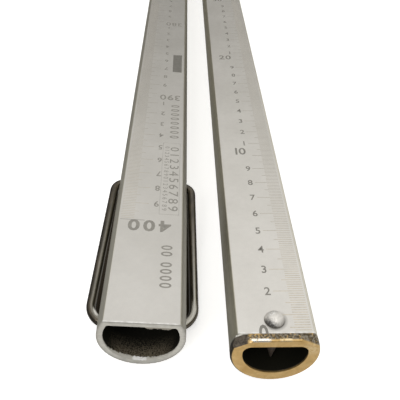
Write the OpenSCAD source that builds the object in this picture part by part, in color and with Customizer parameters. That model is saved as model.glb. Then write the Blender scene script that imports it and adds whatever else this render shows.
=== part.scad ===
// Folding tank dipstick, 4 m long when straight, shown folded.
// Two D-shaped aluminium tubes are joined by a knee hinge at mid-length.
// Lower section: brass shoe at the zero end. Upper section: wire bail handle.
// X runs across the flat scale face, Y runs along the stick away from the
// zero tip, Z is normal to the lower section's scale face.
// The origin is on that face, on its centre line, at the 1000 mm mark.

/* [Tube section] */
// Outer diameter of the round part of the tube
tube_d = 29; // [27:0.5:32]
// Depth from the scale face to the round back
tube_depth = 22.25; // [20:0.25:24]
// Wall thickness
wall = 2; // [1.5:0.1:2.5]
// Small outer radius where the scale face meets the round flank
edge_r = 0.6; // [0.3:0.1:1]

/* [Lengths along the scale] */
// Scale reading at the knee pin, and distance of the pin from the tip
knee_y = 2026.5; // [1500:0.5:2300]
// Scale reading at the open end of the upper section
upper_end = 4048; // [3020:0.5:4500]
// Distance of the origin from the zero tip
origin_y = 1000; // [500:10:1200]

/* [Tip shoe] */
// Thickness of the lip in front of the tube
lip_t = 2.8; // [2:0.1:4]
// Radius of the rounded outer edge of the lip
lip_r = 1; // [0.5:0.1:1.5]
// Depth filed off the lip's two corners at the tube, beside the scale face
lip_c = 0.5; // [0.3:0.1:1]
// The same at the lip's front
lip_c1 = 2.7; // [1.5:0.1:3]
// Corner radius of the hole through the shoe
hole_c = 3; // [2:0.1:3]
// Thickness of the ring seen from the front
ring_t = 3.9; // [3:0.1:5]
// How far the hole lies off the ring's centre, towards the scale face
hole_lift = 0.75; // [0:0.05:1]
// Thickness of the ring under the scale face
roof_t = 3.35; // [3:0.05:5]
// Length of the sleeve inside the tube
sleeve_l = 18; // [14:1:30]
// Distance of the shoe rivet from the tip
rivet_y = 8; // [6.5:0.5:12]
// Head diameter of the shoe rivet
rivet_head_d = 6.8; // [5:0.1:8]
// Height of that head
rivet_head_t = 2.6; // [1.4:0.1:3]
// Shank diameter of the shoe rivet
rivet_d = 4.4; // [3:0.1:4.6]
// Diameter of the rivet's long tail inside the shoe
tail_d = 3.8; // [2.6:0.1:4]
// Length of that tail
tail_l = 13.3; // [4:0.1:13.8]
// Lean of the tail towards the tip, in degrees
tail_lean = 11.5; // [0:0.5:12]

/* [Bail handle] */
// Wire diameter
wire_d = 3.5; // [3:0.1:4]
// Distance of the pivot holes from the upper section's open end
bail_pivot = 79.5; // [70:0.5:95]
// Distance from the pivot axis to the cross bar's axis
bail_l = 64.2; // [55:0.1:70]
// Half width between leg axes at the pivot bends
bail_w0 = 16.6; // [16.6:0.1:18]
// Half width between leg axes at the cross bar, on the two sides
bail_w1 = 19.8; // [17.5:0.1:20]
bail_w2 = 18.6; // [17.5:0.1:20]
// Bend radius at the pivots, on the wire's axis
bail_r0 = 4; // [3.5:0.1:4.2]
// Diameter of the bail's holes in the tube, which the bends just enter
bail_hole_d = 6; // [6:0.1:6.5]
// Bend radius at the cross bar, on the wire's axis
bail_r1 = 7; // [5:0.5:9]
// Gap between the folded cross bar and the round back
bail_gap = 0.3; // [0.2:0.05:0.6]

/* [Knee hinge] */
// Lean of the hinge pin about the stick's length, in degrees
pin_lean = 2.3; // [0:0.1:3]
// Nod of the hinge pin along the stick, in degrees. It lifts the open end
pin_nod = 0.013; // [0:0.001:0.05]
// How far the stick stands open from fully folded, in degrees
rest_open = 0.38; // [0:0.01:1]
// Gap between the two tubes when fully folded, halved
side_gap = 0.3; // [0.3:0.05:0.6]
// Outer diameter of the hinge barrel
barrel_d = 11; // [10:0.5:12]
// Length of the hinge barrel
barrel_l = 14; // [13:0.5:15]
// Length of the middle knuckle
mid_l = 4.8; // [4:0.1:5.5]
// Pin diameter
pin_d = 5; // [4:0.1:5.5]
// Visible length of each hinge block
block_l = 26; // [22:1:34]
// Length of the plug inside the tube
plug_l = 36; // [30:1:50]

/* [Hook catch] */
// Thickness of the hook plate
hook_t = 2; // [1.5:0.1:2.5]
// Width of the hook plate
hook_w = 9; // [8:0.5:10]
// Distance of the hook's pivot from the knee
hook_back = 14; // [12:0.5:16]
// Distance of the catch stud from the knee
stud_fwd = 11; // [9:0.5:13]

/* [Hidden] */
$fn = 96;

R = tube_d / 2;
hf = tube_depth - R;          // face height above the circle's centre
ri = R - wall;                // inner radius
hi = hf - wall;               // inner face height
fit = 0.05;                   // radial running clearance
far = 60;                     // length of cutting bodies
px = -(R + side_gap);         // pin position across the stick
rb = barrel_d / 2;
rp = pin_d / 2;
wr = wire_d / 2;
gap_end = 0.1;                // half the gap between the meeting end faces
washer_t = 0.8;
pin_head_t = 1.6;
mill = R - 1;                 // flats milled on the blocks' outer sides
hook_x0 = R + 0.5;            // inner face of the hook plate
block_rivets = [10, 26];      // rivet places along each plug, from the tube's end
block_rivet_x = -8;
bail_drop = R + wr + bail_gap;
bail_a = asin(bail_drop / bail_l);

// ---- sections ------------------------------------------------------------

// D section centred on its circle: radius r, face at height h, corner radius c
module d_section(r, h, c) {
    cx = sqrt((r - c) * (r - c) - (h - c) * (h - c));
    ty = (h - c) * r / (r - c);           // tangent point on the circle
    intersection() {
        circle(r);
        translate([-2 * r, -2 * r]) square([4 * r, 2 * r + ty]);
    }
    translate([-cx, h - c]) square([2 * cx, c]);
    for (s = [-1, 1]) translate([s * cx, h - c]) circle(c, $fn = 48);
}

// Prism of that section from y0 to y1, scale face at z = 0
module d_bar(y0, y1, r, h, c) {
    translate([0, y0, -hf]) rotate([90, 0, 0]) mirror([0, 0, 1])
        linear_extrude(y1 - y0) d_section(r, h, c);
}

// Cylinder along Z between two heights
module post(x, y, z0, z1, r) {
    translate([x, y, z0]) cylinder(r = r, h = z1 - z0);
}

// Cylinder along X between two places
module bar_x(x0, x1, y, z, r) {
    translate([x0, y, z]) rotate([0, 90, 0]) cylinder(r = r, h = x1 - x0);
}

// Domed head, base at z = 0
module dome(r, t) {
    rs = (r * r + t * t) / (2 * t);
    intersection() {
        translate([0, 0, t - rs]) sphere(rs);
        translate([-2 * r, -2 * r, 0]) cube([4 * r, 4 * r, 2 * t]);
    }
}

// Ring about Z
module ring(r_out, r_in, t) {
    difference() {
        cylinder(r = r_out, h = t);
        translate([0, 0, -1]) cylinder(r = r_in, h = t + 2);
    }
}

// ---- frames --------------------------------------------------------------

// Moves the stick so that the origin is at its mark
module stick() { translate([0, -origin_y, 0]) children(); }

// The pin's own frame: origin at mid-barrel, Z along the pin
module pin_frame() {
    translate([px, knee_y, -hf]) rotate([-pin_nod, pin_lean, 0]) children();
}

// Straight (unfolded) place of the upper section, swung to its folded place
module folded() {
    translate([px, knee_y, -hf])
        rotate(a = 180 - rest_open, v = [cos(pin_nod) * sin(pin_lean),
                                         sin(pin_nod),
                                         cos(pin_nod) * cos(pin_lean)])
            translate([-px, -knee_y, hf]) children();
}

// ---- tubes ---------------------------------------------------------------

// Shank holes of the two rivets that hold a hinge block.
// dir = -1 on the lower section, 1 on the upper one
module block_rivet_holes(dir) {
    for (d = block_rivets)
        post(block_rivet_x, knee_y + dir * (block_l + d), -11, 2, 1.6);
}

module lower_tube() {
    color([0.80, 0.79, 0.76]) stick() difference() {
        d_bar(lip_t, knee_y - block_l, R, hf, edge_r);
        d_bar(lip_t - 1, knee_y - block_l + 1, ri, hi, 1);
        post(0, rivet_y, -7, 2, rivet_d / 2);
        block_rivet_holes(-1);
    }
}

module upper_tube() {
    color([0.79, 0.78, 0.75]) stick() folded() difference() {
        d_bar(knee_y + block_l, upper_end, R, hf, edge_r);
        d_bar(knee_y + block_l - 1, upper_end + 1, ri, hi, 1);
        bar_x(-far, far, upper_end - bail_pivot, -hf, bail_hole_d / 2);
        block_rivet_holes(1);
    }
}

// ---- tip -----------------------------------------------------------------

// Outline of the lip, its corners still sharp
module lip_section() {
    intersection() {
        circle(R);
        translate([-2 * R, -2 * R]) square([4 * R, 2 * R + hf]);
    }
}

// What the file took off the lip's corners, more towards the front
module filed_corners() {
    half = sqrt(R * R - hf * hf);         // half width of the flat
    turn = (90 + asin(hf / R)) / 2;       // middle direction of a corner
    reach = half * cos(turn) + hf * sin(turn) - lip_c;
    slope = atan((lip_c1 - lip_c) / lip_t);
    for (a = [turn, 180 - turn])
        translate([0, lip_t, -hf]) rotate([0, -a, 0]) translate([reach, 0, 0])
            rotate([0, 0, -slope]) translate([0, -far, -far]) cube([far, 2 * far, 2 * far]);
}

module tip_shoe() {
    hole_r = R - ring_t;
    hole_h = hf - roof_t - hole_lift;
    color([0.72, 0.60, 0.39]) stick() difference() {
        union() {
            // lip, its front edge rounded all the way round
            difference() {
                intersection() {
                    translate([0, 0, -hf]) rotate([90, 0, 0]) mirror([0, 0, 1])
                        linear_extrude(lip_t) lip_section();
                    translate([0, 0, -hf]) rotate([-90, 0, 0]) rotate_extrude() {
                        translate([0, 0]) square([R - lip_r, lip_t]);
                        translate([0, lip_r]) square([R, lip_t - lip_r]);
                        translate([R - lip_r, lip_r]) circle(lip_r, $fn = 48);
                    }
                    translate([-far, 0, 0]) rotate([90, 0, 90])
                        linear_extrude(2 * far) {
                            translate([0, -far]) square([lip_t, far - lip_r]);
                            translate([lip_r, -far]) square([lip_t - lip_r, far]);
                            translate([lip_r, -lip_r]) circle(lip_r, $fn = 48);
                        }
                }
                filed_corners();
            }
            // sleeve inside the tube
            d_bar(lip_t, lip_t + sleeve_l, ri - fit, hi - fit, 1);
        }
        translate([0, 0, hole_lift])
            d_bar(-1, lip_t + sleeve_l + 1, hole_r, hole_h, hole_c);
        post(0, rivet_y, -8, 2, rivet_d / 2);
    }
}

// Domed rivet with a long pointed tail, which leans towards the tip
module shoe_rivet() {
    point = 5.4;
    low = roof_t + 0.4;                   // where the shank ends
    color([0.82, 0.81, 0.79]) stick() translate([0, rivet_y, 0]) {
        dome(rivet_head_d / 2, rivet_head_t);
        translate([0, 0, -low]) cylinder(r = rivet_d / 2, h = low);
        translate([0, 0, -low + 0.6]) rotate([180 - tail_lean, 0, 0]) {
            cylinder(r = tail_d / 2, h = tail_l - point);
            translate([0, 0, tail_l - point])
                cylinder(r1 = tail_d / 2, r2 = 0.25, h = point);
        }
    }
}

// ---- bail ----------------------------------------------------------------

// Straight wire from p to q in the XY plane
module wire_run(p, q) {
    d = q - p;
    translate([p[0], p[1], 0]) rotate([0, 0, atan2(d[1], d[0])])
        rotate([0, 90, 0]) cylinder(r = wr, h = norm(d), $fn = 48);
}

// Bend about centre c, from direction a0 through the angle sw. It is a hair
// thinner than the wire and runs a little way into the straight parts
module wire_bend(c, r, a0, sw) {
    e = 1.5;
    translate([c[0], c[1], 0]) rotate([0, 0, a0 - e])
        rotate_extrude(angle = sw + 2 * e, $fn = 96) translate([r, 0])
            circle(wr - 0.02, $fn = 48);
}

// One side of the bail: pivot stub, bend, splayed leg and bend.
// The pivot axis lies on X, the cross bar at y = bail_l
module bail_side(w1) {
    run = bail_l - bail_r0 - bail_r1;
    rise = (w1 - bail_r1) - (bail_w0 - bail_r0);
    // lean of the leg, which touches both bends
    lean = atan2(rise, run)
        + asin((bail_r1 - bail_r0) / sqrt(run * run + rise * rise));
    c0 = [bail_w0 - bail_r0, bail_r0];
    c1 = [w1 - bail_r1, bail_l - bail_r1];
    t0 = c0 + bail_r0 * [cos(lean), -sin(lean)];
    t1 = c1 + bail_r1 * [cos(lean), -sin(lean)];
    wire_run([ri - 2.5, 0], [c0[0], 0]);
    wire_bend(c0, bail_r0, -90, 90 - lean);
    wire_run(t0, t1);
    wire_bend(c1, bail_r1, -lean, 90 + lean);
}

module bail_handle() {
    color([0.22, 0.20, 0.18]) stick() folded()
        translate([0, upper_end - bail_pivot, -hf])
            rotate([-bail_a, 0, 0]) {
                bail_side(bail_w1);
                mirror([1, 0, 0]) bail_side(bail_w2);
                wire_run([-(bail_w2 - bail_r1), bail_l],
                         [bail_w1 - bail_r1, bail_l]);
            }
}

// ---- knee ----------------------------------------------------------------

// Block body on the lower side: plug in the tube and D-shaped head
module block_body() {
    difference() {
        union() {
            d_bar(knee_y - block_l, knee_y - gap_end, R, hf, edge_r);
            d_bar(knee_y - block_l - plug_l, knee_y - block_l, ri - fit, hi - fit, 1);
        }
        // flat milled on the side away from the pin
        translate([mill, knee_y - block_l + 4, -far]) cube([far, far, 2 * far]);
    }
}

// Room for the washers and pin heads above and below the barrel
module spot_faces() {
    pin_frame() {
        post(0, 0, barrel_l / 2, far, 5.2);
        post(0, 0, -far, -barrel_l / 2, 5.2);
    }
}

module lower_hinge_block() {
    m = mid_l / 2 + 0.1;
    color([0.70, 0.69, 0.67]) stick() difference() {
        union() {
            difference() {
                block_body();
                pin_frame() post(0, 0, -m, m, rb + 0.3);
            }
            pin_frame() {
                post(0, 0, m, barrel_l / 2, rb);
                post(0, 0, -barrel_l / 2, -m, rb);
            }
        }
        spot_faces();
        pin_frame() post(0, 0, -far, far, rp);
        block_rivet_holes(-1);
        bar_x(mill - 8, far, knee_y - hook_back, -hf, 2);
    }
}

// The same block turned half a turn about Z for the upper section
module upper_hinge_block() {
    m = mid_l / 2;
    color([0.70, 0.69, 0.67]) stick() folded() difference() {
        union() {
            difference() {
                translate([0, 2 * knee_y, 0]) mirror([0, 1, 0]) block_body();
                pin_frame() {
                    post(0, 0, m, barrel_l / 2 + 0.1, rb + 0.3);
                    post(0, 0, -barrel_l / 2 - 0.1, -m, rb + 0.3);
                }
            }
            pin_frame() post(0, 0, -m, m, rb);
        }
        spot_faces();
        pin_frame() post(0, 0, -far, far, rp + fit);
        block_rivet_holes(1);
        bar_x(mill - 8, far, knee_y + stud_fwd, -hf, 1.5);
    }
}

module hinge_pin() {
    z1 = barrel_l / 2 + washer_t;
    color([0.62, 0.61, 0.60]) stick() pin_frame() {
        post(0, 0, -z1, z1, rp);
        translate([0, 0, z1]) dome(4, pin_head_t);
        mirror([0, 0, 1]) translate([0, 0, z1]) dome(4, pin_head_t);
    }
}

module pin_washers() {
    color([0.66, 0.65, 0.63]) stick() pin_frame()
        for (s = [0, 1]) mirror([0, 0, s])
            translate([0, 0, barrel_l / 2]) ring(4.8, rp, washer_t);
}

module block_rivet_set(dir) {
    for (d = block_rivets)
        translate([block_rivet_x, knee_y + dir * (block_l + d), 0]) {
            dome(2.8, 1.3);
            translate([0, 0, -11]) cylinder(r = 1.6, h = 11);
        }
}

module lower_block_rivets() { color([0.82, 0.81, 0.79]) stick() block_rivet_set(-1); }
module upper_block_rivets() { color([0.82, 0.81, 0.79]) stick() folded() block_rivet_set(1); }

// ---- hook catch ----------------------------------------------------------

// Hook plate, stowed along the lower tube. It swings over the top to the stud.
module catch_hook() {
    reach = hook_back + stud_fwd;
    w = hook_w / 2;
    color([0.62, 0.61, 0.60]) stick()
        translate([hook_x0, knee_y - hook_back, -hf]) rotate([90, 0, 90])
            linear_extrude(hook_t) difference() {
                union() {
                    circle(w);
                    translate([-reach, -w]) square([reach, 2 * w]);
                    translate([-reach, 0]) circle(w);
                    // finger tab past the stud
                    translate([-reach - 7, -w]) square([7, 3.5]);
                    translate([-reach - 7, -w + 1.75]) circle(1.75);
                }
                circle(2 + fit);
                translate([-reach, 0]) circle(1.7);
                translate([-reach - 1.7, 0]) square([3.4, far]);
            }
}

module hook_washer() {
    color([0.72, 0.60, 0.39]) stick()
        translate([mill, knee_y - hook_back, -hf]) rotate([0, 90, 0])
            ring(4.2, 2, hook_x0 - mill - 0.1);
}

module hook_rivet() {
    color([0.66, 0.65, 0.63]) stick() {
        bar_x(mill - 8, hook_x0 + hook_t + 0.1, knee_y - hook_back, -hf, 2);
        translate([hook_x0 + hook_t + 0.1, knee_y - hook_back, -hf])
            rotate([0, 90, 0]) dome(4, 1.5);
    }
}

module catch_stud() {
    color([0.66, 0.65, 0.63]) stick() folded() {
        bar_x(mill - 8, hook_x0 + hook_t + 0.3, knee_y + stud_fwd, -hf, 1.5);
        bar_x(mill, hook_x0 - 0.3, knee_y + stud_fwd, -hf, 3);
        translate([hook_x0 + hook_t + 0.3, knee_y + stud_fwd, -hf])
            rotate([0, 90, 0]) dome(3, 1.2);
    }
}

lower_tube();
upper_tube();
tip_shoe();
shoe_rivet();
bail_handle();
lower_hinge_block();
upper_hinge_block();
hinge_pin();
pin_washers();
lower_block_rivets();
upper_block_rivets();
catch_hook();
hook_rivet();
hook_washer();
catch_stud();
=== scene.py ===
"""Folding tank dipstick, folded: finish, scale print, light and camera.

Everything is in metres in the part's own frame: X across the scale face, Y along
the stick away from the zero tip, Z normal to the lower section's scale face.
"""

import math

import bmesh
import bpy
import numpy as np
from mathutils import Matrix, Vector


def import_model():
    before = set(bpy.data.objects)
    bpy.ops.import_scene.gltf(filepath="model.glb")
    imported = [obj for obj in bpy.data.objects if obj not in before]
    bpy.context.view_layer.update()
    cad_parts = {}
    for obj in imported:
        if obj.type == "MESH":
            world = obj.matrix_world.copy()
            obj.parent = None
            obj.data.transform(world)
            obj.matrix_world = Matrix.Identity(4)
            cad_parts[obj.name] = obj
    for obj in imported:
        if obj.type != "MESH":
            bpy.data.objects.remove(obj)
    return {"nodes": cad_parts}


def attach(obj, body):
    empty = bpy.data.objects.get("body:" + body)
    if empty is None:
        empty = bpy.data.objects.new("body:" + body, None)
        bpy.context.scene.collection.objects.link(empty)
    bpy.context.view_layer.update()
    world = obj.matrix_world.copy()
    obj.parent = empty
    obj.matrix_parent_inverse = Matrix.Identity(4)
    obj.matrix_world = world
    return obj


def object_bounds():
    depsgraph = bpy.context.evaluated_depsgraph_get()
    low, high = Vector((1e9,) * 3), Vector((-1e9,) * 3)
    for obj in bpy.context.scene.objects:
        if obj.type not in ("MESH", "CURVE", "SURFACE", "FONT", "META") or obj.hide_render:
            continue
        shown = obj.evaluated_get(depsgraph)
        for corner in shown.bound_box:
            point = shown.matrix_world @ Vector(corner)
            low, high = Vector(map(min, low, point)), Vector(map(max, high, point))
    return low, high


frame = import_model()
cad_lo, cad_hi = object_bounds()
nodes = frame["nodes"]
scene = bpy.context.scene
MM = 0.001

# ---- places on the stick (mm, as in the part's source) ---------------------

KNEE = 2026.5
UPPER_END = 4048.0
ORIGIN = 1000.0
BLOCK_L = 26.0
LIP = 2.8
R, HF, WALL = 14.5, 7.75, 2.0
HOLE_LIFT = 0.75
PX = -14.8
LEAN, NOD, OPEN = math.radians(2.3), math.radians(0.013), math.radians(0.38)


def folded_matrix():
    """Straight place of the upper section -> its folded place, both in mm from the tip."""
    axis = Vector(
        (
            math.cos(NOD) * math.sin(LEAN),
            math.sin(NOD),
            math.cos(NOD) * math.cos(LEAN),
        )
    )
    pivot = Vector((PX, KNEE, -HF))
    turn = Matrix.Rotation(math.pi - OPEN, 4, axis)
    return Matrix.Translation(pivot) @ turn @ Matrix.Translation(-pivot)


TO_ROW = Matrix.Diagonal((MM, MM, MM, 1)) @ Matrix.Translation((0, -ORIGIN, 0))
LOWER = TO_ROW
UPPER = TO_ROW @ folded_matrix()
UP_X = (UPPER.to_3x3() @ Vector((1, 0, 0))).normalized()
UP_Y = (UPPER.to_3x3() @ Vector((0, 1, 0))).normalized()
UP_Z = (UPPER.to_3x3() @ Vector((0, 0, 1))).normalized()
UP_ORIGIN = UPPER @ Vector((0, UPPER_END, 0))


# ---- node graphs ----------------------------------------------------------


class Graph:
    """Shorthand for a material's nodes. Positions are in mm of the part's frame."""

    def __init__(self, name):
        self.mat = bpy.data.materials.new(name)
        self.mat.use_nodes = True
        self.nt = self.mat.node_tree
        self.nt.nodes.clear()
        self.out = self.nt.nodes.new("ShaderNodeOutputMaterial")
        self.bsdf = self.nt.nodes.new("ShaderNodeBsdfPrincipled")
        self.link(self.bsdf.outputs[0], self.out.inputs["Surface"])
        self.coord = self.nt.nodes.new("ShaderNodeTexCoord")
        self.normal = self.coord.outputs["Normal"]
        scale = self.nt.nodes.new("ShaderNodeVectorMath")
        scale.operation = "SCALE"
        scale.inputs["Scale"].default_value = 1000.0
        self.link(self.coord.outputs["Object"], scale.inputs[0])
        self.p = scale.outputs[0]

    def link(self, a, b):
        self.nt.links.new(a, b)

    def put(self, socket, value):
        if isinstance(value, bpy.types.NodeSocket):
            self.link(value, socket)
        elif isinstance(value, (tuple, list)) and len(value) == 3 and socket.type == "RGBA":
            socket.default_value = (*value, 1.0)
        else:
            socket.default_value = value

    def math(self, op, a, b=0.0, c=None, clamp=False):
        n = self.nt.nodes.new("ShaderNodeMath")
        n.operation = op
        n.use_clamp = clamp
        self.put(n.inputs[0], a)
        self.put(n.inputs[1], b)
        if c is not None:
            self.put(n.inputs[2], c)
        return n.outputs[0]

    def vec(self, op, a, b=None):
        n = self.nt.nodes.new("ShaderNodeVectorMath")
        n.operation = op
        self.put(n.inputs[0], a)
        if b is not None:
            self.put(n.inputs[1], b)
        return n.outputs["Value"] if op in ("DOT_PRODUCT", "LENGTH", "DISTANCE") else n.outputs[0]

    def local(self, origin, ex, ey, ez):
        """(x, y, z) sockets in mm of the frame at origin (metres) with those axes."""
        shifted = self.vec("SUBTRACT", self.p, tuple(1000.0 * c for c in origin))
        return [self.vec("DOT_PRODUCT", shifted, tuple(e)) for e in (ex, ey, ez)]

    def xyz(self, x, y, z):
        n = self.nt.nodes.new("ShaderNodeCombineXYZ")
        for socket, value in zip(n.inputs, (x, y, z)):
            self.put(socket, value)
        return n.outputs[0]

    def scaled(self, v, s):
        n = self.nt.nodes.new("ShaderNodeVectorMath")
        n.operation = "MULTIPLY"
        self.link(v, n.inputs[0])
        n.inputs[1].default_value = s
        return n.outputs[0]

    def noise(self, v, scale, detail=3.0, rough=0.55, warp=0.0):
        n = self.nt.nodes.new("ShaderNodeTexNoise")
        n.inputs["Scale"].default_value = scale
        n.inputs["Detail"].default_value = detail
        n.inputs["Roughness"].default_value = rough
        n.inputs["Distortion"].default_value = warp
        self.link(v, n.inputs["Vector"])
        return n.outputs["Fac"]

    def cells(self, v, scale, feature="F1", jitter=1.0):
        n = self.nt.nodes.new("ShaderNodeTexVoronoi")
        n.feature = feature
        n.inputs["Scale"].default_value = scale
        n.inputs["Randomness"].default_value = jitter
        self.link(v, n.inputs["Vector"])
        return n.outputs["Distance"]

    def fit(self, value, lo, hi, to_lo=0.0, to_hi=1.0, smooth=False):
        n = self.nt.nodes.new("ShaderNodeMapRange")
        n.interpolation_type = "SMOOTHSTEP" if smooth else "LINEAR"
        n.clamp = True
        self.put(n.inputs["Value"], value)
        for name, x in (("From Min", lo), ("From Max", hi), ("To Min", to_lo), ("To Max", to_hi)):
            self.put(n.inputs[name], x)
        return n.outputs["Result"]

    def mix(self, fac, a, b):
        n = self.nt.nodes.new("ShaderNodeMix")
        n.data_type = "RGBA"
        self.put(n.inputs[0], fac)
        self.put(n.inputs[6], a)
        self.put(n.inputs[7], b)
        return n.outputs[2]

    def mixf(self, fac, a, b):
        n = self.nt.nodes.new("ShaderNodeMix")
        n.data_type = "FLOAT"
        self.put(n.inputs[0], fac)
        self.put(n.inputs[2], a)
        self.put(n.inputs[3], b)
        return n.outputs[0]

    def shade(self, colour, value):
        """colour times a grey value around 1."""
        n = self.nt.nodes.new("ShaderNodeVectorMath")
        n.operation = "SCALE"
        self.put(n.inputs[0], colour)
        self.put(n.inputs["Scale"], value)
        return n.outputs[0]

    def bump(self, height, distance, strength=1.0, normal=None):
        n = self.nt.nodes.new("ShaderNodeBump")
        n.inputs["Strength"].default_value = strength
        n.inputs["Distance"].default_value = distance * MM
        self.link(height, n.inputs["Height"])
        if normal is not None:
            self.link(normal, n.inputs["Normal"])
        return n.outputs["Normal"]

    def finish(self, colour, rough, metallic=None, normal=None):
        self.put(self.bsdf.inputs["Base Color"], colour)
        self.put(self.bsdf.inputs["Roughness"], rough)
        if metallic is not None:
            self.put(self.bsdf.inputs["Metallic"], metallic)
        if normal is not None:
            self.link(normal, self.bsdf.inputs["Normal"])
        return self.mat


def tube_material(name, origin, ex, ey, ez, end_y, tone, minus_flank_shade=1.0, head=None):
    """Aluminium D tube. Etched matt scale face, mill-finish flanks with drawing
    lines, sawn ends. end_y: local mm of the sawn end. tone: of the face.
    minus_flank_shade: painted shade on the flank on the -X side. head: x, y, radius of a rivet head
    with painted shadow beside it."""
    g = Graph(name)
    x, y, z = g.local(origin, ex, ey, ez)
    facing = g.vec("DOT_PRODUCT", g.normal, tuple(ez))
    along = g.math("ABSOLUTE", g.vec("DOT_PRODUCT", g.normal, tuple(ey)))
    flat = g.fit(facing, 0.955, 0.995, smooth=True)
    end = g.fit(along, 0.6, 0.9, smooth=True)
    here = g.xyz(x, y, z)

    clouds = g.noise(here, 0.035, 3.0, 0.6)
    blotch = g.noise(here, 0.45, 4.0, 0.6)
    grain = g.noise(here, 4.5, 2.0, 0.6)
    fleck = g.noise(here, 1.3, 3.0, 0.6)
    lines = g.noise(g.scaled(here, (3.0, 0.012, 3.0)), 1.0, 4.0, 0.6)
    fine_lines = g.noise(g.scaled(here, (11.0, 0.05, 11.0)), 1.0, 2.0, 0.5)
    scratch = g.noise(g.scaled(here, (1.6, 0.10, 1.6)), 1.0, 2.0, 0.5, 1.5)
    scratch = g.fit(g.math("ABSOLUTE", g.math("SUBTRACT", scratch, 0.5)), 0.0, 0.004, 1.0, 0.0)

    # etched face: pale warm grey, a little uneven, fine grain
    face = g.mix(g.fit(clouds, 0.35, 0.68), (0.80, 0.782, 0.742), (0.87, 0.852, 0.815))
    face = g.shade(face, g.fit(blotch, 0.25, 0.75, 0.965, 1.03))
    face = g.shade(face, g.fit(grain, 0.3, 0.7, 0.955, 1.035))
    face = g.shade(face, g.fit(scratch, 0.0, 1.0, tone, 1.05 * tone))
    if head:
        # painted shadow on the face round the rivet head, strongest on its +X side towards the tip
        gap = g.vec("DISTANCE", g.xyz(x, y, 0.0), (head[0], head[1], 0.0))
        side = g.math("ADD", g.math("MULTIPLY", g.math("SUBTRACT", x, head[0]), 0.77),
                      g.math("MULTIPLY", g.math("SUBTRACT", y, head[1]), -0.64))
        rivet_shadow = g.math("MULTIPLY", g.fit(gap, head[2], head[2] + 1.2, 1.0, 0.0), g.fit(side, -1.5, 2.5))
        face = g.shade(face, g.fit(rivet_shadow, 0.0, 1.0, 1.0, 0.52))
    # bare flank: darker oxide with drawing lines
    flank = g.mix(g.fit(lines, 0.3, 0.72), (0.66, 0.635, 0.535), (0.80, 0.775, 0.665))
    flank = g.shade(flank, g.fit(blotch, 0.3, 0.75, 0.93, 1.05))
    # painted shade: the flank on the -X side is darker by this factor
    flank = g.shade(flank, g.fit(x, -11.5, -10.5, minus_flank_shade, 1.0))
    colour = g.mix(flat, flank, face)
    # sawn end
    cut = g.noise(g.scaled(here, (0.25, 1.0, 7.0)), 1.0, 3.0, 0.6)
    saw = g.mix(g.fit(cut, 0.3, 0.7), (0.60, 0.585, 0.525), (0.80, 0.785, 0.735))
    # darker towards the bottom, and painted shade along the end's outer edge
    saw = g.shade(saw, g.fit(z, -22.0, -14.0, 0.77, 1.0))
    radius = g.vec("LENGTH", g.xyz(x, 0.0, g.math("ADD", z, HF)))
    inward = g.math("MINIMUM", g.math("SUBTRACT", R, radius), g.math("MULTIPLY", z, -1.0))
    saw = g.shade(saw, g.fit(inward, 0.1, 0.95, 0.70, 1.03))
    saw = g.shade(saw, g.fit(blotch, 0.35, 0.65, 0.90, 1.05))
    colour = g.mix(end, colour, saw)
    # burnished line where the face meets the sawn end, painted near white as a highlight
    near_end = g.fit(g.math("ABSOLUTE", g.math("SUBTRACT", y, end_y)), 0.2, 0.75, 1.0, 0.0)
    worn = g.math("MULTIPLY", near_end, g.fit(blotch, 0.38, 0.58))
    worn = g.math("MULTIPLY", worn, g.fit(facing, 0.6, 0.9))
    colour = g.mix(worn, colour, (0.97, 0.965, 0.95))

    rough = g.mixf(flat, g.fit(lines, 0.3, 0.7, 0.30, 0.42), g.fit(blotch, 0.3, 0.7, 0.34, 0.41))
    rough = g.mixf(end, rough, 0.46)
    rough = g.mixf(worn, rough, 0.28)
    # the bore is dull, painted nearly black as shade, with brown specks towards its bottom
    within = g.math("MULTIPLY", g.fit(radius, 12.9, 13.4, 1.0, 0.0), g.fit(z, -1.6, -1.2, 1.0, 0.0))
    within = g.math("MULTIPLY", within, g.math("SUBTRACT", 1.0, end))
    depth = g.math("ABSOLUTE", g.math("SUBTRACT", y, end_y))
    rim = g.math("MULTIPLY", g.fit(z, -20.5, -14.0, 1.3, 0.35), g.fit(fleck, 0.35, 0.65, 0.7, 1.25))
    rim = g.math("MULTIPLY", rim, g.fit(x, -8.0, 6.0, 0.75, 1.2))
    bore = g.math("MULTIPLY", within, g.fit(g.math("SUBTRACT", depth, rim), 0.0, 0.35))
    # its edge is dressed with a file, wider towards the bottom, with a painted glint at the bottom
    dressed = g.math("SUBTRACT", within, bore)
    # painted glint
    spot = g.fit(g.math("ABSOLUTE", g.math("SUBTRACT", x, 0.3)), 1.9, 2.7, 1.0, 0.0)
    spot = g.math("MULTIPLY", spot, g.fit(fleck, 0.36, 0.46))
    colour = g.mix(dressed, colour, g.mix(spot, (0.62, 0.60, 0.54), (0.99, 0.98, 0.96)))
    rough = g.mixf(dressed, rough, 0.6)
    low = g.math("MULTIPLY", g.fit(depth, 3.0, 9.5, 1.0, 0.0), g.fit(z, -17.5, -12.0, 1.0, 0.0))
    speck = g.noise(here, 2.6, 2.0, 0.7)
    speck = g.fit(g.math("SUBTRACT", speck, g.math("MULTIPLY", low, 0.12)), 0.40, 0.46, 1.0, 0.0)
    bore_shade_specks = g.mix(g.math("MULTIPLY", low, speck), (0.025, 0.024, 0.019), (0.25, 0.215, 0.155))
    colour = g.mix(bore, colour, bore_shade_specks)
    rough = g.mixf(bore, rough, 0.75)
    height = g.mixf(flat, g.math("ADD", lines, g.math("MULTIPLY", fine_lines, 0.4)), g.math("MULTIPLY", grain, 0.8))
    height = g.mixf(end, height, g.math("MULTIPLY", cut, 2.0))
    normal = g.bump(height, 0.02, 0.55)
    return g.finish(colour, rough, g.fit(dressed, 0.0, 1.0, 1.0, 0.15), normal)


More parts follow.
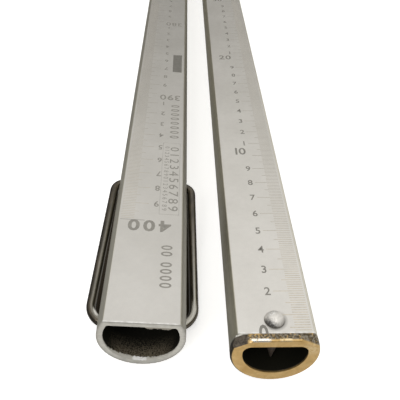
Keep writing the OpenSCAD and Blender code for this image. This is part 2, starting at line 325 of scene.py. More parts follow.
def brass_material():
    """Sawn and filed brass: mottled face, tarnished band round the lip's rim."""
    g = Graph("brass_shoe")
    x, y, z = g.local((0, -1.0, 0), (1, 0, 0), (0, 1, 0), (0, 0, 1))
    here = g.xyz(x, y, z)
    blotch = g.noise(here, 0.28, 4.0, 0.62, 0.6)
    spots = g.noise(here, 1.1, 4.0, 0.62, 0.3)
    grain = g.noise(here, 6.0, 2.0, 0.6)
    file_marks = g.noise(g.scaled(here, (1.2, 3.0, 8.0)), 1.0, 3.0, 0.6, 0.4)
    colour = g.mix(g.fit(blotch, 0.32, 0.68), (0.56, 0.36, 0.130), (0.70, 0.49, 0.215))
    colour = g.shade(colour, g.fit(spots, 0.3, 0.7, 0.90, 1.07))
    colour = g.shade(colour, g.fit(grain, 0.3, 0.7, 0.94, 1.05))
    colour = g.shade(colour, g.fit(x, -13.0, -7.0, 1.13, 1.0))
    # paler polished spot on the right shoulder
    right = g.fit(g.vec("DISTANCE", here, (11.3, 0.0, -4.6)), 1.0, 4.6, 1.0, 0.0, True)
    pale = g.math("MULTIPLY", right, g.fit(spots, 0.38, 0.56))
    colour = g.mix(g.math("MULTIPLY", pale, 0.7), colour, (0.78, 0.62, 0.37))
    # tarnish on the rim behind the front edge: grey-brown mottling on top, to the
    # right more than to the left; the left corner and the sides get dark brown painted shade
    facing = g.vec("DOT_PRODUCT", g.normal, (0, -1, 0))
    behind = g.fit(facing, 0.80, 0.93, 1.0, 0.0, True)
    rim = g.math("MULTIPLY", behind, g.fit(y, 0.30, 0.85, smooth=True))
    patch = g.noise(g.scaled(here, (0.95, 0.9, 0.95)), 1.0, 5.0, 0.7, 0.8)
    rightward = g.fit(x, -9.5, 1.5)
    mottled = g.fit(g.math("ADD", patch, g.math("MULTIPLY", rightward, 0.10)), 0.46, 0.55, smooth=True)
    tarnish = g.math("MULTIPLY", rim, mottled)
    grey = g.mix(g.fit(spots, 0.44, 0.58), (0.040, 0.036, 0.028), (0.245, 0.235, 0.205))
    colour = g.mix(g.math("MULTIPLY", tarnish, 0.9), colour, grey)
    # polished flecks along the front edge's top, painted near white as highlights
    edge = g.math("MULTIPLY", g.fit(y, 1.05, 0.8, 0.0, 1.0), g.fit(facing, 0.99, 0.96))
    edge = g.math("MULTIPLY", edge, g.fit(z, -1.6, -0.8))
    across = g.math("MAXIMUM",
        g.math("MULTIPLY", g.fit(x, -8.4, -7.4), g.fit(x, -2.6, -1.6, 1.0, 0.0)),
        g.math("MULTIPLY", g.math("MULTIPLY", g.fit(x, 0.4, 1.4), g.fit(x, 4.2, 5.0, 1.0, 0.0)), 0.6))
    edge = g.math("MULTIPLY", edge, g.math("MULTIPLY", across, g.fit(spots, 0.36, 0.5)))
    colour = g.mix(edge, colour, g.mix(g.fit(x, -1.5, 0.5), (0.98, 0.93, 0.84), (0.95, 0.78, 0.48)))
    # painted shade: dark brown on the left corner and the lower sides
    left = g.math("MULTIPLY", g.fit(x, -9.6, -8.3, 1.0, 0.0, True), g.fit(facing, 0.86, 0.95, 1.0, 0.0, True))
    sides = g.math("MULTIPLY", rim, g.fit(z, -2.2, -4.5))
    dark = g.math("MAXIMUM", left, g.math("MULTIPLY", sides, 0.8))
    brown = g.mix(g.fit(patch, 0.4, 0.6), (0.040, 0.034, 0.027), (0.100, 0.083, 0.064))
    colour = g.mix(dark, colour, brown)
    # the tube's filed corner beside it
    filed = g.math("MULTIPLY", left, g.fit(y, 2.3, 2.5))
    colour = g.mix(filed, colour, (0.42, 0.41, 0.37))
    # painted shade: the bore is nearly black
    radius = g.vec("LENGTH", g.xyz(x, 0.0, g.math("ADD", z, HF - HOLE_LIFT)))
    inside = g.math("MULTIPLY", g.fit(radius, 10.7, 10.85, 1.0, 0.0), g.fit(z, -3.3, -3.2, 1.0, 0.0))
    inside = g.math("MULTIPLY", inside, g.fit(facing, 0.15, 0.5, 1.0, 0.0))
    inside = g.math("MULTIPLY", inside, g.fit(y, 0.25, 0.9))
    colour = g.mix(inside, colour, (0.022, 0.021, 0.015))
    rough = g.fit(spots, 0.3, 0.7, 0.36, 0.50)
    rough = g.mixf(tarnish, rough, 0.58)
    rough = g.mixf(edge, rough, 0.22)
    rough = g.mixf(inside, rough, 0.75)
    height = g.math("ADD", g.math("MULTIPLY", spots, 1.4), g.math("ADD", file_marks, g.math("MULTIPLY", grain, 0.5)))
    metallic = g.mixf(inside, g.mixf(tarnish, 0.95, 0.7), 1.0)
    return g.finish(colour, rough, metallic, g.bump(height, 0.05, 0.55))


def wire_material():
    """Dark spring wire: brown-black scale, drawn along its length, rub marks, and painted highlights along the top
    of the legs and at both bends.
    """
    g = Graph("dark_wire")
    here = g.p
    blotch = g.noise(g.scaled(here, (0.5, 0.10, 0.5)), 1.0, 4.0, 0.6, 0.5)
    fleck = g.noise(g.scaled(here, (2.2, 0.5, 2.2)), 1.0, 3.0, 0.6)
    lines = g.noise(g.scaled(here, (4.0, 0.06, 4.0)), 1.0, 3.0, 0.6)
    colour = g.mix(g.fit(blotch, 0.40, 0.62), (0.068, 0.062, 0.051), (0.106, 0.091, 0.070))
    rub = g.math("MULTIPLY", g.fit(fleck, 0.55, 0.70), g.fit(blotch, 0.45, 0.6))
    colour = g.mix(g.math("MULTIPLY", rub, 0.5), colour, (0.19, 0.165, 0.13))
    # painted highlight streak along the top of the leg at the -X side of the upper section,
    # a fainter one along the second leg, and a painted glint at the second leg's bend
    x, y, z = g.local(UP_ORIGIN, UP_X, UP_Y, UP_Z)
    up = g.fit(g.vec("DOT_PRODUCT", g.normal, tuple((UP_Z - 0.22 * UP_X).normalized())), 0.86, 0.985, smooth=True)
    near = g.fit(y, -64.0, -26.0, 0.08, 1.0)
    painted_streak = g.math("MULTIPLY", g.math("MULTIPLY", up, near), g.fit(x, -10.0, -12.0))
    second_leg_streak = g.math("MULTIPLY", g.math("MULTIPLY", up, g.fit(y, -76.0, -42.0)), g.fit(x, 10.0, 12.0))
    painted_streak = g.math("MAXIMUM", painted_streak, g.math("MULTIPLY", second_leg_streak, 0.42))
    # painted glint on the inner top of the second leg's bend
    bend = g.fit(g.vec("DISTANCE", g.xyz(x, y, 0.0), (18.0, -21.8, 0.0)), 1.8, 4.2, 1.0, 0.0, True)
    inner = tuple((UP_Z - 0.40 * UP_X - 0.32 * UP_Y).normalized())
    glint = g.math("MULTIPLY", bend, g.fit(g.vec("DOT_PRODUCT", g.normal, inner), 0.88, 0.97, smooth=True))
    painted_streak = g.math("MULTIPLY", painted_streak, g.fit(lines, 0.25, 0.55, 0.6, 1.0))
    colour = g.mix(painted_streak, colour, (0.55, 0.53, 0.475))
    colour = g.mix(glint, colour, (0.99, 0.98, 0.94))
    # painted highlight along the top of the -X leg's bend
    corner = g.fit(g.vec("DISTANCE", g.xyz(x, y, 0.0), (-17.3, -19.0, 0.0)), 4.0, 9.0, 1.0, 0.0, True)
    top = g.fit(g.vec("DOT_PRODUCT", g.normal, tuple((UP_Z + 0.15 * UP_Y).normalized())), 0.74, 0.95, smooth=True)
    bend_highlight = g.math("MULTIPLY", g.math("MULTIPLY", corner, top), 0.95)
    colour = g.mix(bend_highlight, colour, (0.78, 0.76, 0.70))
    rough = g.fit(lines, 0.3, 0.7, 0.17, 0.27)
    height = g.math("ADD", lines, g.math("MULTIPLY", fleck, 0.6))
    # the painted highlights are not metallic, so they show white
    matt = g.math("MAXIMUM", glint, bend_highlight)
    return g.finish(colour, rough, g.math("SUBTRACT", 1.0, matt), g.bump(height, 0.02, 0.5))


def rivet_material(name, centre, tone=(0.80, 0.79, 0.765)):
    """Hammered aluminium head: dents; with a centre, painted shade to the sides, a painted highlight on top and a
    dark painted shadow at its foot.
    """
    g = Graph(name)
    here = g.p
    dents = g.cells(g.scaled(here, (1.0, 1.0, 1.0)), 0.75)
    blotch = g.noise(here, 0.9, 4.0, 0.6)
    grain = g.noise(here, 6.0, 2.0, 0.6)
    colour = g.shade(tone, g.fit(blotch, 0.3, 0.7, 0.86, 1.04))
    colour = g.shade(colour, g.fit(grain, 0.3, 0.7, 0.95, 1.04))
    rough = g.fit(blotch, 0.3, 0.7, 0.26, 0.40)
    metallic = 1.0
    if centre is not None:
        # painted shade towards the tip and to the left, less to the right, a painted highlight on top and a painted
        # shadow round its foot
        height = g.math("SUBTRACT", g.vec("DOT_PRODUCT", here, (0, 0, 1)), 1000.0 * centre[2])
        shade_lean = g.vec("DOT_PRODUCT", g.normal, (-0.56, -0.78, 0.0))
        shade_lean = g.math("ADD", shade_lean, g.fit(g.noise(here, 1.4, 3.0, 0.6), 0.3, 0.7, -0.12, 0.12))
        colour = g.shade(colour, g.fit(shade_lean, 0.36, 0.80, 1.0, 0.10))
        shade_lean_right = g.vec("DOT_PRODUCT", g.normal, (0.72, -0.60, 0.0))
        colour = g.shade(colour, g.fit(shade_lean_right, 0.50, 0.90, 1.0, 0.42))
        # painted highlight flecks on top
        bright = g.fit(g.vec("DOT_PRODUCT", g.normal, (-0.30, 0.40, 0.86)), 0.88, 0.96)
        bright = g.math("MULTIPLY", bright, g.fit(g.noise(here, 2.4, 2.0, 0.6), 0.49, 0.53))
        colour = g.mix(bright, g.shade(colour, 0.90), (1.0, 1.0, 0.98))
        # painted shadow round its foot on the shaded side
        foot = g.math("MULTIPLY", g.fit(height, 0.0, 0.8, 1.0, 0.0, True), g.fit(shade_lean, -0.6, 0.0, 0.0, 1.0))
        colour = g.mix(g.math("MULTIPLY", foot, 0.8), colour, (0.10, 0.092, 0.075))
        # the tail is painted dark brown
        tail_dark = g.fit(height, -3.0, -2.5, 1.0, 0.0)
        colour = g.mix(tail_dark, colour, g.shade((0.060, 0.046, 0.036), g.fit(blotch, 0.3, 0.7, 0.7, 1.2)))
        rough = g.mixf(tail_dark, g.fit(blotch, 0.3, 0.7, 0.40, 0.52), 0.6)
        metallic = 0.55
    dented = g.math("ADD", g.math("MULTIPLY", dents, 1.2), g.math("MULTIPLY", blotch, 0.8))
    return g.finish(colour, rough, metallic, g.bump(dented, 0.09, 0.6))


def cast_material():
    """Milled aluminium hinge blocks: cutter arcs, dull."""
    g = Graph("milled_block")
    here = g.p
    blotch = g.noise(here, 0.22, 4.0, 0.6)
    grain = g.noise(here, 3.5, 3.0, 0.6)
    arcs = g.nt.nodes.new("ShaderNodeTexWave")
    arcs.wave_type = "RINGS"
    arcs.rings_direction = "Z"
    arcs.inputs["Scale"].default_value = 0.33
    arcs.inputs["Distortion"].default_value = 0.7
    arcs.inputs["Detail"].default_value = 2.0
    g.link(g.vec("SUBTRACT", here, (PX, KNEE - ORIGIN + 4.0, 0.0)), arcs.inputs["Vector"])
    cutter = arcs.outputs["Fac"]
    colour = g.mix(g.fit(blotch, 0.3, 0.7), (0.58, 0.57, 0.545), (0.70, 0.69, 0.665))
    colour = g.shade(colour, g.fit(cutter, 0.0, 1.0, 0.96, 1.03))
    colour = g.shade(colour, g.fit(grain, 0.3, 0.7, 0.95, 1.03))
    rough = g.fit(blotch, 0.3, 0.7, 0.36, 0.5)
    height = g.math("ADD", g.math("MULTIPLY", cutter, 0.8), g.math("MULTIPLY", grain, 0.7))
    return g.finish(colour, rough, 1.0, g.bump(height, 0.03, 0.5))


def steel_material(name, tone, wear=0.5):
    """Bright zinc-grey steel with fine turning or brushing and dull spots."""
    g = Graph(name)
    here = g.p
    blotch = g.noise(here, 0.4, 4.0, 0.6)
    fleck = g.noise(here, 3.0, 3.0, 0.6)
    brush = g.noise(g.scaled(here, (6.0, 0.25, 6.0)), 1.0, 3.0, 0.6)
    colour = g.shade(tone, g.fit(blotch, 0.3, 0.7, 0.82, 1.05))
    dull = tuple(c * 0.42 for c in tone)
    colour = g.mix(g.math("MULTIPLY", g.fit(fleck, 0.57, 0.7), wear), colour, dull)
    colour = g.shade(colour, g.fit(brush, 0.3, 0.7, 0.94, 1.04))
    rough = g.fit(blotch, 0.3, 0.7, 0.26, 0.42)
    return g.finish(colour, rough, 1.0, g.bump(g.math("ADD", brush, fleck), 0.02, 0.5))


def washer_material():
    g = Graph("brass_washer")
    here = g.p
    blotch = g.noise(here, 0.6, 4.0, 0.6)
    fleck = g.noise(here, 3.2, 3.0, 0.6)
    colour = g.mix(g.fit(blotch, 0.3, 0.7), (0.50, 0.33, 0.13), (0.66, 0.47, 0.21))
    colour = g.mix(g.fit(fleck, 0.6, 0.75, 0.0, 0.6), colour, (0.16, 0.12, 0.08))
    rough = g.fit(blotch, 0.3, 0.7, 0.32, 0.46)
    return g.finish(colour, rough, 1.0, g.bump(fleck, 0.02, 0.5))


def print_material(name, tone, origin, ex, ey, ez, way, stop, pale, paler):
    """Etched and blackened marks: grey, a little worn and uneven. The fine marks on
    the +X half, beyond stop mm counted along way * Y, are paler, near that place most."""
    g = Graph(name)
    x, y, z = g.local(origin, ex, ey, ez)
    here = g.xyz(x, y, z)
    blotch = g.noise(here, 0.5, 4.0, 0.65)
    grain = g.noise(here, 5.0, 2.0, 0.6)
    fine = g.math("MULTIPLY", g.fit(x, 0.85, 0.95), g.fit(g.math("MULTIPLY", y, way), stop, stop + 0.1))
    along = g.math("MULTIPLY", y, way)
    fade = g.fit(along, 20.0 + stop, 80.0 + stop, paler, pale)
    tone = g.mix(fine, tone, g.shade((tone[0], 0.965 * tone[1], 0.915 * tone[2]), fade))
    colour = g.shade(tone, g.fit(blotch, 0.3, 0.7, 0.86, 1.16))
    colour = g.shade(colour, g.fit(grain, 0.3, 0.7, 0.92, 1.08))
    rough = g.fit(blotch, 0.3, 0.7, 0.5, 0.62)
    return g.finish(colour, rough, 0.85, g.bump(grain, 0.01, 0.5))


def assign(name, material):
    o = nodes[name]
    o.data.materials.clear()
    o.data.materials.append(material)


low_tube = tube_material("lower_tube_metal", (0, -1.0, 0), (1, 0, 0), (0, 1, 0), (0, 0, 1), LIP, 1.0, head=(0.0, 8.0, 3.35))
up_tube = tube_material("upper_tube_metal", UP_ORIGIN, UP_X, UP_Y, UP_Z, 0.0, 0.88, 0.72)
brass = brass_material()
wire = wire_material()
blocks = cast_material()
assign("lower_tube", low_tube)
assign("upper_tube", up_tube)
assign("tip_shoe", brass)
assign("shoe_rivet", rivet_material("shoe_rivet_metal", (0, -0.992, 0.0), (0.86, 0.835, 0.785)))
assign("bail_handle", wire)
assign("lower_hinge_block", blocks)
assign("upper_hinge_block", blocks)
assign("hinge_pin", steel_material("pin_steel", (0.56, 0.555, 0.545)))
assign("pin_washers", steel_material("washer_steel", (0.60, 0.59, 0.57)))
assign("lower_block_rivets", rivet_material("block_rivet_metal", None))
assign("upper_block_rivets", rivet_material("block_rivet_metal_b", None))
assign("catch_hook", steel_material("hook_steel", (0.52, 0.515, 0.50), 0.7))
assign("hook_rivet", steel_material("hook_rivet_steel", (0.58, 0.57, 0.555)))
assign("hook_washer", washer_material())
assign("catch_stud", steel_material("stud_steel", (0.58, 0.57, 0.555)))


# ---- edge softening for the carried-over pieces, not applied to any piece ---


def soften(name, width, segments=2, angle=38):
    """Joins the faces' seams and rounds the sharp edges by a hair."""
    o = nodes[name]
    weld = o.modifiers.new("weld", "WELD")
    weld.merge_threshold = 2e-6
    bevel = o.modifiers.new("bevel", "BEVEL")
    bevel.width = width * MM
    bevel.segments = segments
    bevel.limit_method = "ANGLE"
    bevel.angle_limit = math.radians(angle)
    bevel.use_clamp_overlap = True
    bevel.harden_normals = False
    tidy = o.modifiers.new("normals", "WEIGHTED_NORMAL")
    tidy.keep_sharp = False
    tidy.weight = 80


# ---- the scale print -------------------------------------------------------

TOP, SUNK = 0.018, 0.012  # mm above and below the face


def glyph(ch, height, weight=0.0, wide=1.0):
    """Closed thin plate of one figure: verts, faces. Left foot at the origin,
    that many mm tall."""
    curve = bpy.data.curves.new("figure", "FONT")
    curve.body = ch
    curve.size = 1.0
    curve.resolution_u = 3
    curve.offset = weight
    curve.extrude = 0.01
    curve.fill_mode = "BOTH"
    o = bpy.data.objects.new("figure", curve)
    scene.collection.objects.link(o)
    dg = bpy.context.evaluated_depsgraph_get()
    me = bpy.data.meshes.new_from_object(o.evaluated_get(dg))
    bm = bmesh.new()
    bm.from_mesh(me)
    bmesh.ops.remove_doubles(bm, verts=bm.verts, dist=1e-5)
    bmesh.ops.dissolve_degenerate(bm, edges=bm.edges, dist=1e-5)
    co = np.array([v.co for v in bm.verts])
    lo, hi = co.min(0), co.max(0)
    k = height / (hi[1] - lo[1])
    top, low = TOP, -SUNK
    for v in bm.verts:
        x = (v.co.x - lo[0]) * k * wide
        y = (v.co.y - lo[1]) * k
        v.co = (x, y, top if v.co.z > 0 else low)
    bm.verts.index_update()
    verts = np.array([v.co for v in bm.verts])
    faces = [[v.index for v in f.verts] for f in bm.faces]
    bm.free()
    bpy.data.objects.remove(o)
    bpy.data.curves.remove(curve)
    bpy.data.meshes.remove(me)
    return verts, faces


class Print:
    """Marks on one face, in that section's straight frame, in mm from the tip."""

    def __init__(self):
        self.verts, self.faces, self.count, self.cache = [], [], 0, {}

    def add(self, verts, faces):
        self.verts.append(verts)
        self.faces += [[i + self.count for i in f] for f in faces]
        self.count += len(verts)

    def bar(self, x0, y0, x1, y1):
        v = np.array(
            [
                (x, y, z)
                for z in (-SUNK, TOP)
                for x, y in ((x0, y0), (x1, y0), (x1, y1), (x0, y1))
            ]
        )
        f = [(3, 2, 1, 0), (4, 5, 6, 7), (0, 1, 5, 4), (1, 2, 6, 5), (2, 3, 7, 6), (3, 0, 4, 7)]
        self.add(v, f)

    def figures(self, text, x, y, height, weight=0.0, wide=1.0, gap=0.16, turn=0, pitch=None):
        """text with its left foot at x, y. turn in degrees about that point."""
        c, s = math.cos(math.radians(turn)), math.sin(math.radians(turn))
        pen = 0.0
        for ch in text:
            if ch == " ":
                pen += height * 0.5
                continue
            key = (ch, height, weight, wide)
            if key not in self.cache:
                self.cache[key] = glyph(*key)
            v, f = self.cache[key]
            w = v[:, 0].max()
            at = pen + ((pitch - w) / 2 if pitch else 0.0)
            u, t = v[:, 0] + at, v[:, 1]
            self.add(np.stack([x + c * u - s * t, y + s * u + c * t, v[:, 2]], 1), f)
            pen += pitch if pitch else w + gap * height
        return pen

    def width(self, text, height, weight=0.0, wide=1.0, gap=0.16):
        total = 0.0
        for ch in text:
            key = (ch, height, weight, wide)
            if key not in self.cache:
                self.cache[key] = glyph(*key)
            total += self.cache[key][0][:, 0].max() + gap * height
        return total - gap * height

    def build(self, name, matrix, body, material, cut_below=None):
        me = bpy.data.meshes.new(name)
        verts = np.concatenate(self.verts)
        me.from_pydata([tuple(v) for v in verts], [], self.faces)
        me.validate()
        bm = bmesh.new()
        bm.from_mesh(me)
        if cut_below is not None:
            near = [f for f in bm.faces if min(v.co.y for v in f.verts) < cut_below + 1]
            geom = near + list({e for f in near for e in f.edges}) + list({v for f in near for v in f.verts})
            made = bmesh.ops.bisect_plane(
                bm, geom=geom, dist=1e-5, plane_co=(0, cut_below, 0), plane_no=(0, 1, 0), clear_inner=True
            )
            open_edges = [e for e in made["geom_cut"] if isinstance(e, bmesh.types.BMEdge) and e.is_boundary]
            if open_edges:
                bmesh.ops.holes_fill(bm, edges=open_edges, sides=0)
        bmesh.ops.triangulate(bm, faces=[f for f in bm.faces if len(f.verts) > 4])
        bmesh.ops.recalc_face_normals(bm, faces=bm.faces)
        bm.to_mesh(me)
        bm.free()
        me.transform(matrix)
        o = bpy.data.objects.new(name, me)
        scene.collection.objects.link(o)
        me.materials.append(material)
        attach(o, body)
        return o


def marks(p, first, last, edge, digit_x, tens_x, digit_h, tens_h, skip=()):
    """Millimetre marks and figures from first to last mm. edge: where the marks stop."""
    for s in range(first, last + 1):
        if s % 10 == 0:
            x0, t = (2.0, 0.11) if s % 100 == 0 else (1.05, 0.10)
        elif s % 5 == 0:
            x0, t = 4.6, 0.10
        else:
            x0, t = 6.2, 0.10
        t += 0.10 * max(0.0, 1.0 - s / 60.0)
        p.bar(x0, s - t, edge, s + t)
    for s in range(first, last + 1):
        if s % 10 or s in skip:
            continue
        cm = s // 10
        if cm % 10 == 0:
            text = str(cm)
            w = p.width(text, tens_h, 0.012, 0.95, 0.13)
            p.figures(text, tens_x - w, s + 0.8, tens_h, 0.012, 0.95, 0.13)
        else:
            text = str(cm % 10)
            w = p.width(text, digit_h, 0.012, 0.92)
            p.figures(text, digit_x - w / 2, s - digit_h / 2, digit_h, 0.012, 0.92)


lower_print = Print()
# zero, cut short by the tube's end, then the marks to the hinge block
lower_print.figures("0", -5.5, -0.9, 7.1, 0.020, 0.66)
marks(lower_print, 4, int(KNEE - BLOCK_L) - 1, 11.4, -0.85, -0.7, 3.5, 5.3, skip=(10,))

upper_print = Print()
marks(upper_print, int(KNEE + BLOCK_L) + 2, 4000, 11.4, -1.9, 0.2, 3.4, 5.3, skip=(4000,))
# full length, large
w = upper_print.width("400", 6.3, 0.028, 1.10, 0.2)
upper_print.figures("400", 8.3 - w, 3999.8, 6.3, 0.028, 1.10, 0.2)
# row of plain figures near the open end
upper_print.figures("00 0000", -4.7, 4013.0, 4.2, 0.016, 0.86, 0.2, 90)
# plain counting rows in a thin frame, and a larger one beyond it
x0, x1, y0, y1 = -10.9, -3.1, UPPER_END - 102.0, UPPER_END - 52.0
for a, b, c, d in (
    (x0, y0, x1, y0 + 0.10),
    (x0, y1 - 0.10, x1, y1),
    (x0, y0, x0 + 0.10, y1),
    (x1 - 0.10, y0, x1, y1),
):
    upper_print.bar(a, b, c, d)
upper_print.figures("0123456789", -6.5, y0 + 2.6, 3.9, 0.0, 1.25, 0.2, 90, pitch=4.6)
upper_print.figures("01234567890123456789", -4.1, y0 + 2.6, 1.9, -0.004, 1.05, 0.2, 90, pitch=2.28)
upper_print.figures("00000000", -5.8, UPPER_END - 138.0, 4.3, 0.014, 0.82, 0.2, 90, pitch=4.1)
# plain dark field
field_print = Print()
field_print.bar(-10.8, UPPER_END - 197.0, -5.7, UPPER_END - 174.5)

TONE = (0.30, 0.29, 0.265)
lower_print.build(
    "scale_print_lower", LOWER, "lower_section",
    print_material("print_lower", TONE, (0, -1.0, 0), (1, 0, 0), (0, 1, 0), (0, 0, 1), 1.0, LIP, 1.6, 2.35),
    cut_below=LIP + 0.05,
)
upper_print.build(
    "scale_print_upper", UPPER, "upper_section",
    print_material(
        "print_upper", tuple(1.22 * c for c in TONE), UP_ORIGIN, UP_X, UP_Y, UP_Z, -1.0, 48.6, 1.25, 1.7
    ),
)
field_print.build(
    "dark_field_upper", UPPER, "upper_section",
    print_material("print_field", tuple(0.86 * c for c in TONE), UP_ORIGIN, UP_X, UP_Y, UP_Z, -1.0, 48.6, 1.0, 1.0),
)


# ---- burr left by the saw inside the upper section's open end ---------------


def saw_burr():
    """Thin ragged lip hanging from the flat wall's inner edge, one closed strip."""
    n = 40
    verts, faces = [], []
    for i in range(n + 1):
        t = i / n
        x = -0.9 - 8.9 * t
        drop = 0.78 + 0.18 * math.sin(9.1 * t + 0.6) + 0.10 * math.sin(31.0 * t) + 0.07 * math.sin(67.0 * t + 2.0)
        drop *= min(1.0, 0.25 + 6.0 * t, 0.25 + 9.0 * (1.0 - t))
        low = -WALL - drop
        out = 0.05 + 0.04 * math.sin(23.0 * t)
        verts += [(x, -0.02 - out, -WALL + 0.03), (x, -0.55, -WALL + 0.03), (x, -0.30, low), (x, -0.02 - out, low)]
    for i in range(n):
        a, b = 4 * i, 4 * (i + 1)
        for k in range(4):
            faces.append((a + k, a + (k + 1) % 4, b + (k + 1) % 4, b + k))
    faces += [(3, 2, 1, 0), tuple(4 * n + k for k in range(4))]
    me = bpy.data.meshes.new("saw_burr")
    # the strip is drawn outwards from the open end, the section's Y runs towards it
    me.from_pydata([(x, UPPER_END + y, z) for x, y, z in verts], [], faces)
    bm = bmesh.new()
    bm.from_mesh(me)
    bmesh.ops.triangulate(bm, faces=bm.faces)
    bmesh.ops.recalc_face_normals(bm, faces=bm.faces)
    bm.to_mesh(me)
    bm.free()
    me.transform(UPPER)
    o = bpy.data.objects.new("saw_burr", me)
    scene.collection.objects.link(o)
    # painted shade: the burr gets a darker metal than the tube
    me.materials.append(steel_material("saw_burr_shaded_metal", (0.36, 0.335, 0.285), 0.8))
    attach(o, "upper_section")


saw_burr()

# ---- camera ---------------------------------------------------------------

PITCH, YAW, ROLL = 0.6941, 0.0238, 0.0168
SHIFT_CM = np.array((2.4175, 4.3696, 16.400))
FOCAL_PX = 528.47


def photo_camera():
    sp, cp = math.sin(PITCH), math.cos(PITCH)
    sy, cy = math.sin(YAW), math.cos(YAW)
    sr, cr = math.sin(ROLL), math.cos(ROLL)
    m = np.array([[1, 0, 0], [0, -sp, -cp], [0, cp, -sp]])
    n = np.array([[cy, -sy, 0], [sy, cy, 0], [0, 0, 1]])
    r = np.array([[cr, 0, sr], [0, 1, 0], [-sr, 0, cr]])
    a = m @ n @ r
    centre = -a.T @ SHIFT_CM  # cm, from the tip
    data = bpy.data.cameras.new("camera")
    data.sensor_fit = "HORIZONTAL"
    data.sensor_width = 36.0
    data.lens = FOCAL_PX / 400.0 * 36.0
    data.clip_start, data.clip_end = 0.005, 60.0
    cam = bpy.data.objects.new("camera", data)
    scene.collection.objects.link(cam)
    world = Matrix.Identity(4)
    for i, axis in enumerate((a[0], -a[1], -a[2])):
        for j in range(3):
            world[j][i] = axis[j]
    world[0][3], world[1][3], world[2][3] = (
        centre[0] / 100.0,
        centre[1] / 100.0 - 1.0,
        centre[2] / 100.0,
    )
    cam.matrix_world = world
    scene.camera = cam
    return cam


camera = photo_camera()


# ---- floor and light -------------------------------------------------------


def floor():
    me = bpy.data.meshes.new("floor")
    s = 14.0
    me.from_pydata([(-s, -s, 0), (s, -s, 0), (s, s, 0), (-s, s, 0)], [], [(0, 1, 2, 3)])
    o = bpy.data.objects.new("floor", me)
    scene.collection.objects.link(o)
    # touches the bail bar near the tip and the tubes' backs at the knee
    near_y, near_z = -0.85, cad_lo.z
    far_y, far_z = KNEE * MM - 1.0, -0.02225
    tilt = math.atan2(far_z - near_z, far_y - near_y)
    o.matrix_world = Matrix.Translation((0, near_y, near_z - 0.0002)) @ Matrix.Rotation(tilt, 4, "X")
    g = Graph("pale_floor")
    tone = g.noise(g.p, 0.004, 2.0)
    pale = g.mix(g.fit(tone, 0.3, 0.7), (0.93, 0.93, 0.93), (0.95, 0.95, 0.95))
    g.bsdf.inputs["Specular IOR Level"].default_value = 0.0
    # contact shadow between the bail's legs, and a faint glow elsewhere
    world = g.nt.nodes.new("ShaderNodeNewGeometry")
    metres = g.nt.nodes.new("ShaderNodeVectorMath")
    metres.operation = "SCALE"
    metres.inputs["Scale"].default_value = 1000.0
    g.link(world.outputs["Position"], metres.inputs[0])
    g.p = metres.outputs[0]
    x, y, z = g.local(UP_ORIGIN, UP_X, UP_Y, UP_Z)
    across = g.math("MAXIMUM", g.math("SUBTRACT", g.math("ABSOLUTE", g.math("SUBTRACT", x, 0.85)), 12.8), 0.0)
    along = g.math("MAXIMUM", g.math("SUBTRACT", g.math("ABSOLUTE", g.math("ADD", y, 61.0)), 35.6), 0.0)
    outside = g.math("SUBTRACT", g.vec("LENGTH", g.xyz(across, along, 0.0)), 6.0)
    shadow = g.math("MULTIPLY", g.fit(outside, -1.1, 1.6, 1.0, 0.0, True), g.fit(y, -106.0, -96.0, 0.0, 1.0, True))
    # only where the tube and the bail really stand close above, so that it goes
    # when they move
    close = g.nt.nodes.new("ShaderNodeAmbientOcclusion")
    close.samples = 64
    close.inputs["Distance"].default_value = 0.025
    limit = g.mixf(g.fit(x, -2.0, 2.0), g.fit(y, -93.0, -26.0, 0.44, 0.26), g.fit(y, -93.0, -26.0, 0.72, 0.58))
    covered = g.fit(g.math("SUBTRACT", close.outputs["AO"], limit), -0.02, 0.06, 1.0, 0.0)
    shadow = g.math("MULTIPLY", shadow, covered)
    glow = g.math("SUBTRACT", 1.0, shadow)
    g.finish(g.mix(shadow, pale, (0.036, 0.029, 0.021)), 0.9, 0.0)
    g.put(g.bsdf.inputs["Emission Color"], g.shade((1.0, 1.0, 1.0), glow))
    g.bsdf.inputs["Emission Strength"].default_value = 0.50
    me.materials.append(g.mat)
    o.visible_glossy = False
    return o


floor()


def area(name, at, aim, size, power, colour=(1, 1, 1)):
    data = bpy.data.lights.new(name, "AREA")
    data.shape = "RECTANGLE"
    data.size, data.size_y = size
    data.energy = power
    data.color = colour
    o = bpy.data.objects.new(name, data)
    scene.collection.objects.link(o)
    o.location = at
    o.rotation_mode = "QUATERNION"
    o.rotation_quaternion = (Vector(aim) - Vector(at)).to_track_quat("-Z", "Y")
    return o


area("key", (-0.50, -1.95, 0.95), (0.0, -0.95, 0.0), (0.5, 0.35), 7.0)


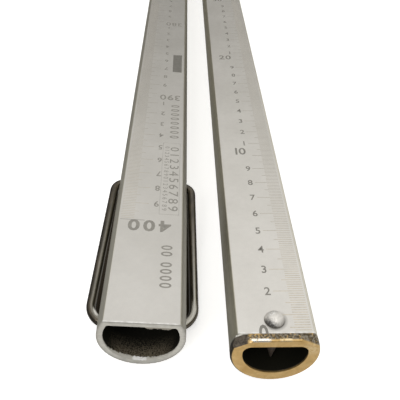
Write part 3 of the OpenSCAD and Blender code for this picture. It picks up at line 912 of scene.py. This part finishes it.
def world():
    """Soft room: bright overhead, dim towards the horizon, a bright sheet below the front."""
    w = bpy.data.worlds.new("room")
    scene.world = w
    w.use_nodes = True
    nt = w.node_tree
    nt.nodes.clear()
    out = nt.nodes.new("ShaderNodeOutputWorld")
    back = nt.nodes.new("ShaderNodeBackground")
    coord = nt.nodes.new("ShaderNodeTexCoord")
    split = nt.nodes.new("ShaderNodeSeparateXYZ")
    nt.links.new(coord.outputs["Generated"], split.inputs[0])

    def ramp(stops, tint=0.0):
        up = nt.nodes.new("ShaderNodeMapRange")
        up.inputs["From Min"].default_value = -1.0
        nt.links.new(split.outputs["Z"], up.inputs["Value"])
        r = nt.nodes.new("ShaderNodeValToRGB")
        nt.links.new(up.outputs["Result"], r.inputs[0])
        e = r.color_ramp.elements
        while len(e) > 1:
            e.remove(e[-1])
        for i, (z, v) in enumerate(stops):
            el = e[0] if i == 0 else e.new((z + 1) / 2)
            el.position = (z + 1) / 2
            dusk = tint * max(0.0, min(1.0, (0.85 - v) / 0.5))
            el.color = (v, v * (0.985 - 0.2 * dusk), v * (0.955 - dusk), 1)
        return r.outputs["Color"]

    # beyond the knee, towards the camera, and the right-hand side, by height
    far = ramp([(-1.0, 0.14), (-0.3, 0.14), (0.0, 0.12), (0.25, 0.10), (0.34, 0.15), (0.39, 0.26), (0.44, 0.42), (0.485, 0.60), (0.56, 0.74), (0.7, 0.86), (0.805, 0.88), (1.0, 0.9)], 0.06)
    near = ramp([(-1.0, 0.80), (-0.6, 0.76), (-0.3, 0.25), (0.0, 0.12), (0.35, 0.22), (0.6, 0.7), (0.78, 1.6), (0.93, 1.7), (1.0, 1.0)])
    right = ramp([(-1.0, 0.5), (-0.6, 0.8), (-0.2, 0.95), (0.1, 0.9), (0.4, 0.6), (0.7, 0.8), (1.0, 0.9)])

    def blend(axis, lo, hi, a, b):
        side = nt.nodes.new("ShaderNodeMapRange")
        side.interpolation_type = "SMOOTHSTEP"
        side.inputs["From Min"].default_value = lo
        side.inputs["From Max"].default_value = hi
        nt.links.new(split.outputs[axis], side.inputs["Value"])
        mix = nt.nodes.new("ShaderNodeMix")
        mix.data_type = "RGBA"
        nt.links.new(side.outputs["Result"], mix.inputs[0])
        nt.links.new(a, mix.inputs[6])
        nt.links.new(b, mix.inputs[7])
        return mix.outputs[2]

    left = ramp([(-1.0, 0.235), (-0.6, 0.265), (-0.2, 0.295), (0.1, 0.235), (0.3, 0.20), (0.6, 0.65), (0.8, 0.9), (1.0, 0.9)])
    sky = blend("X", 0.30, 0.55, blend("Y", -0.35, 0.25, near, far), right)
    sky = blend("X", -0.55, -0.35, left, sky)
    nt.links.new(sky, back.inputs["Color"])
    back.inputs["Strength"].default_value = 1.0
    nt.links.new(back.outputs[0], out.inputs["Surface"])


world()
scene.view_settings.view_transform = "Standard"
scene.view_settings.look = "None"
